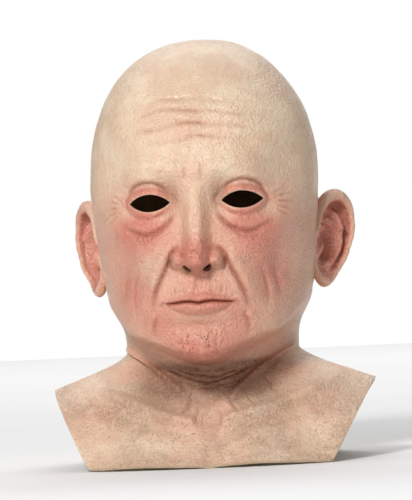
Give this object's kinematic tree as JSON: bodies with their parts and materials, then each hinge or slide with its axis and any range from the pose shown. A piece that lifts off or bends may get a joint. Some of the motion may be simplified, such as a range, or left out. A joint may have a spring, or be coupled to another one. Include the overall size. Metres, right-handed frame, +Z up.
{
  "type": "latex head mask",
  "caption": "Full-head latex mask of an elderly bald head with protruding ears, eye openings, a chest bib and a folding closure at the nape.",
  "frame": {"origin": "centre of the wearer's head inside the mask, midway between the ears, just above the level of the ear canals", "axes": "+Z up through the crown, -Y out through the face, +X towards the mask's own left ear"},
  "size_m": [0.246, 0.2283, 0.3217],
  "materials": {
    "latex": "satin, stippled, airbrushed flush",
    "ear_latex": "satin, airbrushed pink",
    "underlap_latex": "matt raw latex",
    "seam_cloth": "woven cotton tape",
    "loop": "looped pile",
    "hook": "hooked pile",
    "foam": "open-cell foam"
  },
  "bodies": {
    "mask": {"face_skin": "latex", "rear_skin": "latex", "left_ear": "ear_latex", "right_ear": "ear_latex", "left_seam_tape": "seam_cloth", "right_seam_tape": "seam_cloth", "brow_pad": "foam", "crown_pad": "foam", "chin_pad": "foam", "placket": "underlap_latex", "loop_tape": "loop"},
    "flap": {"back_flap": "latex", "hook_tape": "hook"}
  },
  "joints": [
    {"name": "flap_fold", "type": "hinge", "parent": "mask", "child": "flap", "pos_m": [0, 0.079, -0.062], "axis": [0.4879, -0.1767, 0.8548], "range_deg": [0, 75], "stiffness_Nm_per_rad": 0.02}
  ]
}
